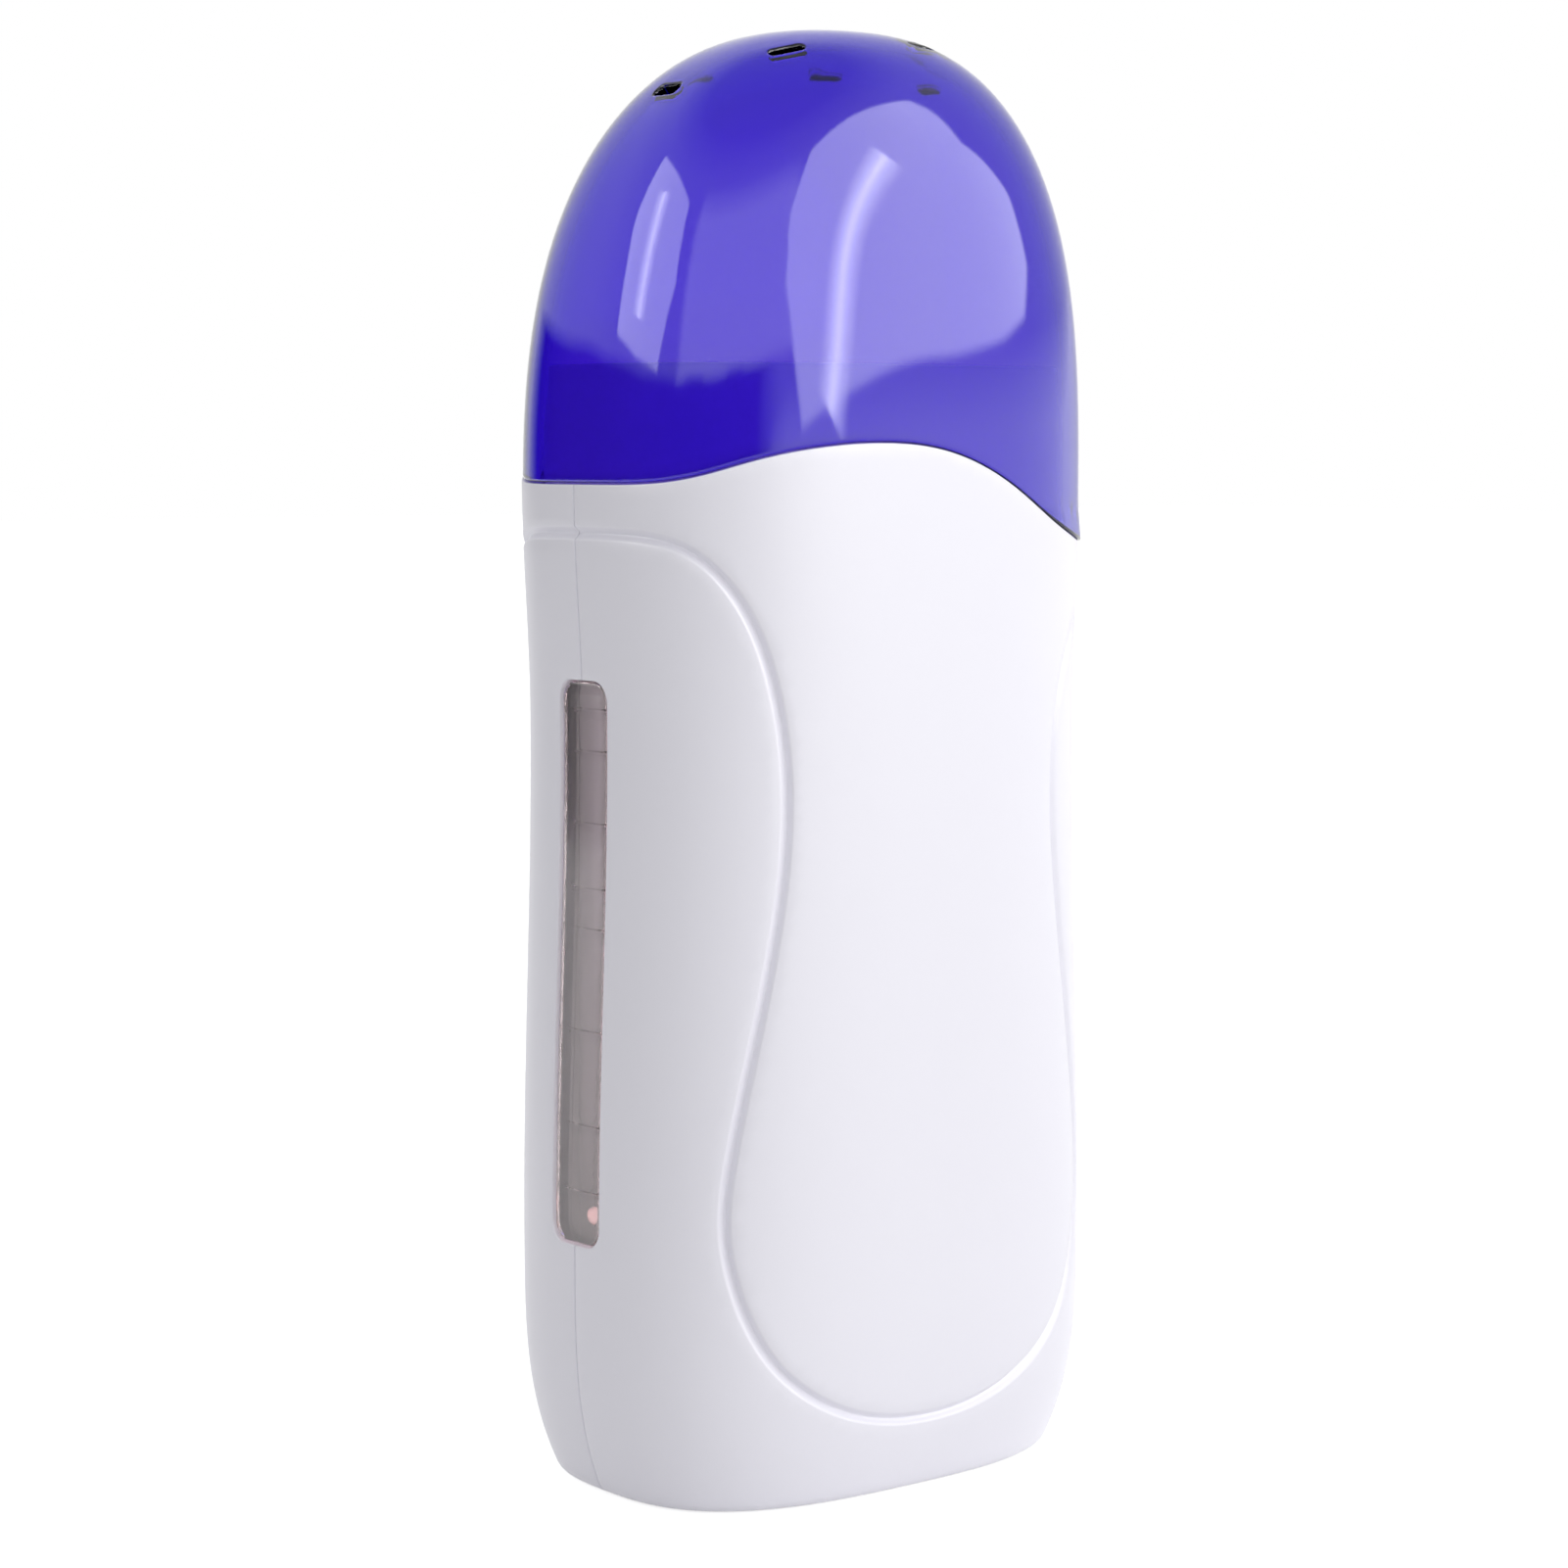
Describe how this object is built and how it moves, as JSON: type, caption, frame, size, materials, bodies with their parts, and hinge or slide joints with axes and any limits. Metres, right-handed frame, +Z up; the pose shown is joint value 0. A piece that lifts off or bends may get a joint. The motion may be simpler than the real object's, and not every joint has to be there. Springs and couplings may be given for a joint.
{
  "type": "roll-on wax heater",
  "caption": "Upright hand-held warmer for roll-on wax cartridges: white waisted body with grooved panels and side windows, and a translucent domed cap that lifts off.",
  "frame": {"origin": "centre of the flat base that the heater stands on", "axes": "+Z up along the body's height, -Y towards the front face, -X towards the narrow side with the indicator window"},
  "size_m": [0.0758, 0.0546, 0.19],
  "materials": {
    "white_plastic": "satin moulded",
    "well_plastic": "moulded, heat-resistant",
    "tinted_clear_plastic": "translucent, polished",
    "clear_plastic": "clear, polished",
    "aluminium": "rolled",
    "ceramic": "sintered",
    "brass": "rolled strip",
    "polyimide": "film",
    "spring_steel": "stamped",
    "zinc_screw": "zinc plated",
    "thermostat_metal": "drawn case",
    "sleeve_fibre": "braided glass fibre",
    "lamp_resin": "diffused resin",
    "board_laminate": "bare glass-epoxy laminate",
    "resistor_paint": "lacquered",
    "black_plastic": "moulded",
    "wire_red": "silicone",
    "wire_blue": "silicone",
    "wire_white": "silicone"
  },
  "bodies": {
    "body": {"front_shell": "white_plastic", "rear_shell": "white_plastic", "left_window": "clear_plastic", "right_window": "clear_plastic", "cartridge_well": "well_plastic", "heating_plate": "aluminium", "ptc_stones": "ceramic", "heater_electrodes": "brass", "heater_insulation": "polyimide", "heater_clamp": "spring_steel", "clamp_screws": "zinc_screw", "thermostat": "thermostat_metal", "thermal_fuse": "spring_steel", "fuse_sleeve": "sleeve_fibre", "indicator_led": "lamp_resin", "led_board": "board_laminate", "led_resistor": "resistor_paint", "inlet_socket": "black_plastic", "inlet_pins": "brass", "well_screws": "zinc_screw", "shell_screws": "zinc_screw", "live_wire": "wire_red", "link_wire": "wire_red", "neutral_wire": "wire_blue", "led_wires": "wire_white"},
    "cap": {"cap": "tinted_clear_plastic"}
  },
  "joints": [
    {"name": "cap_lift", "type": "slide", "parent": "body", "child": "cap", "axis": [0, 0, 1], "range_m": [0, 0.06]}
  ]
}
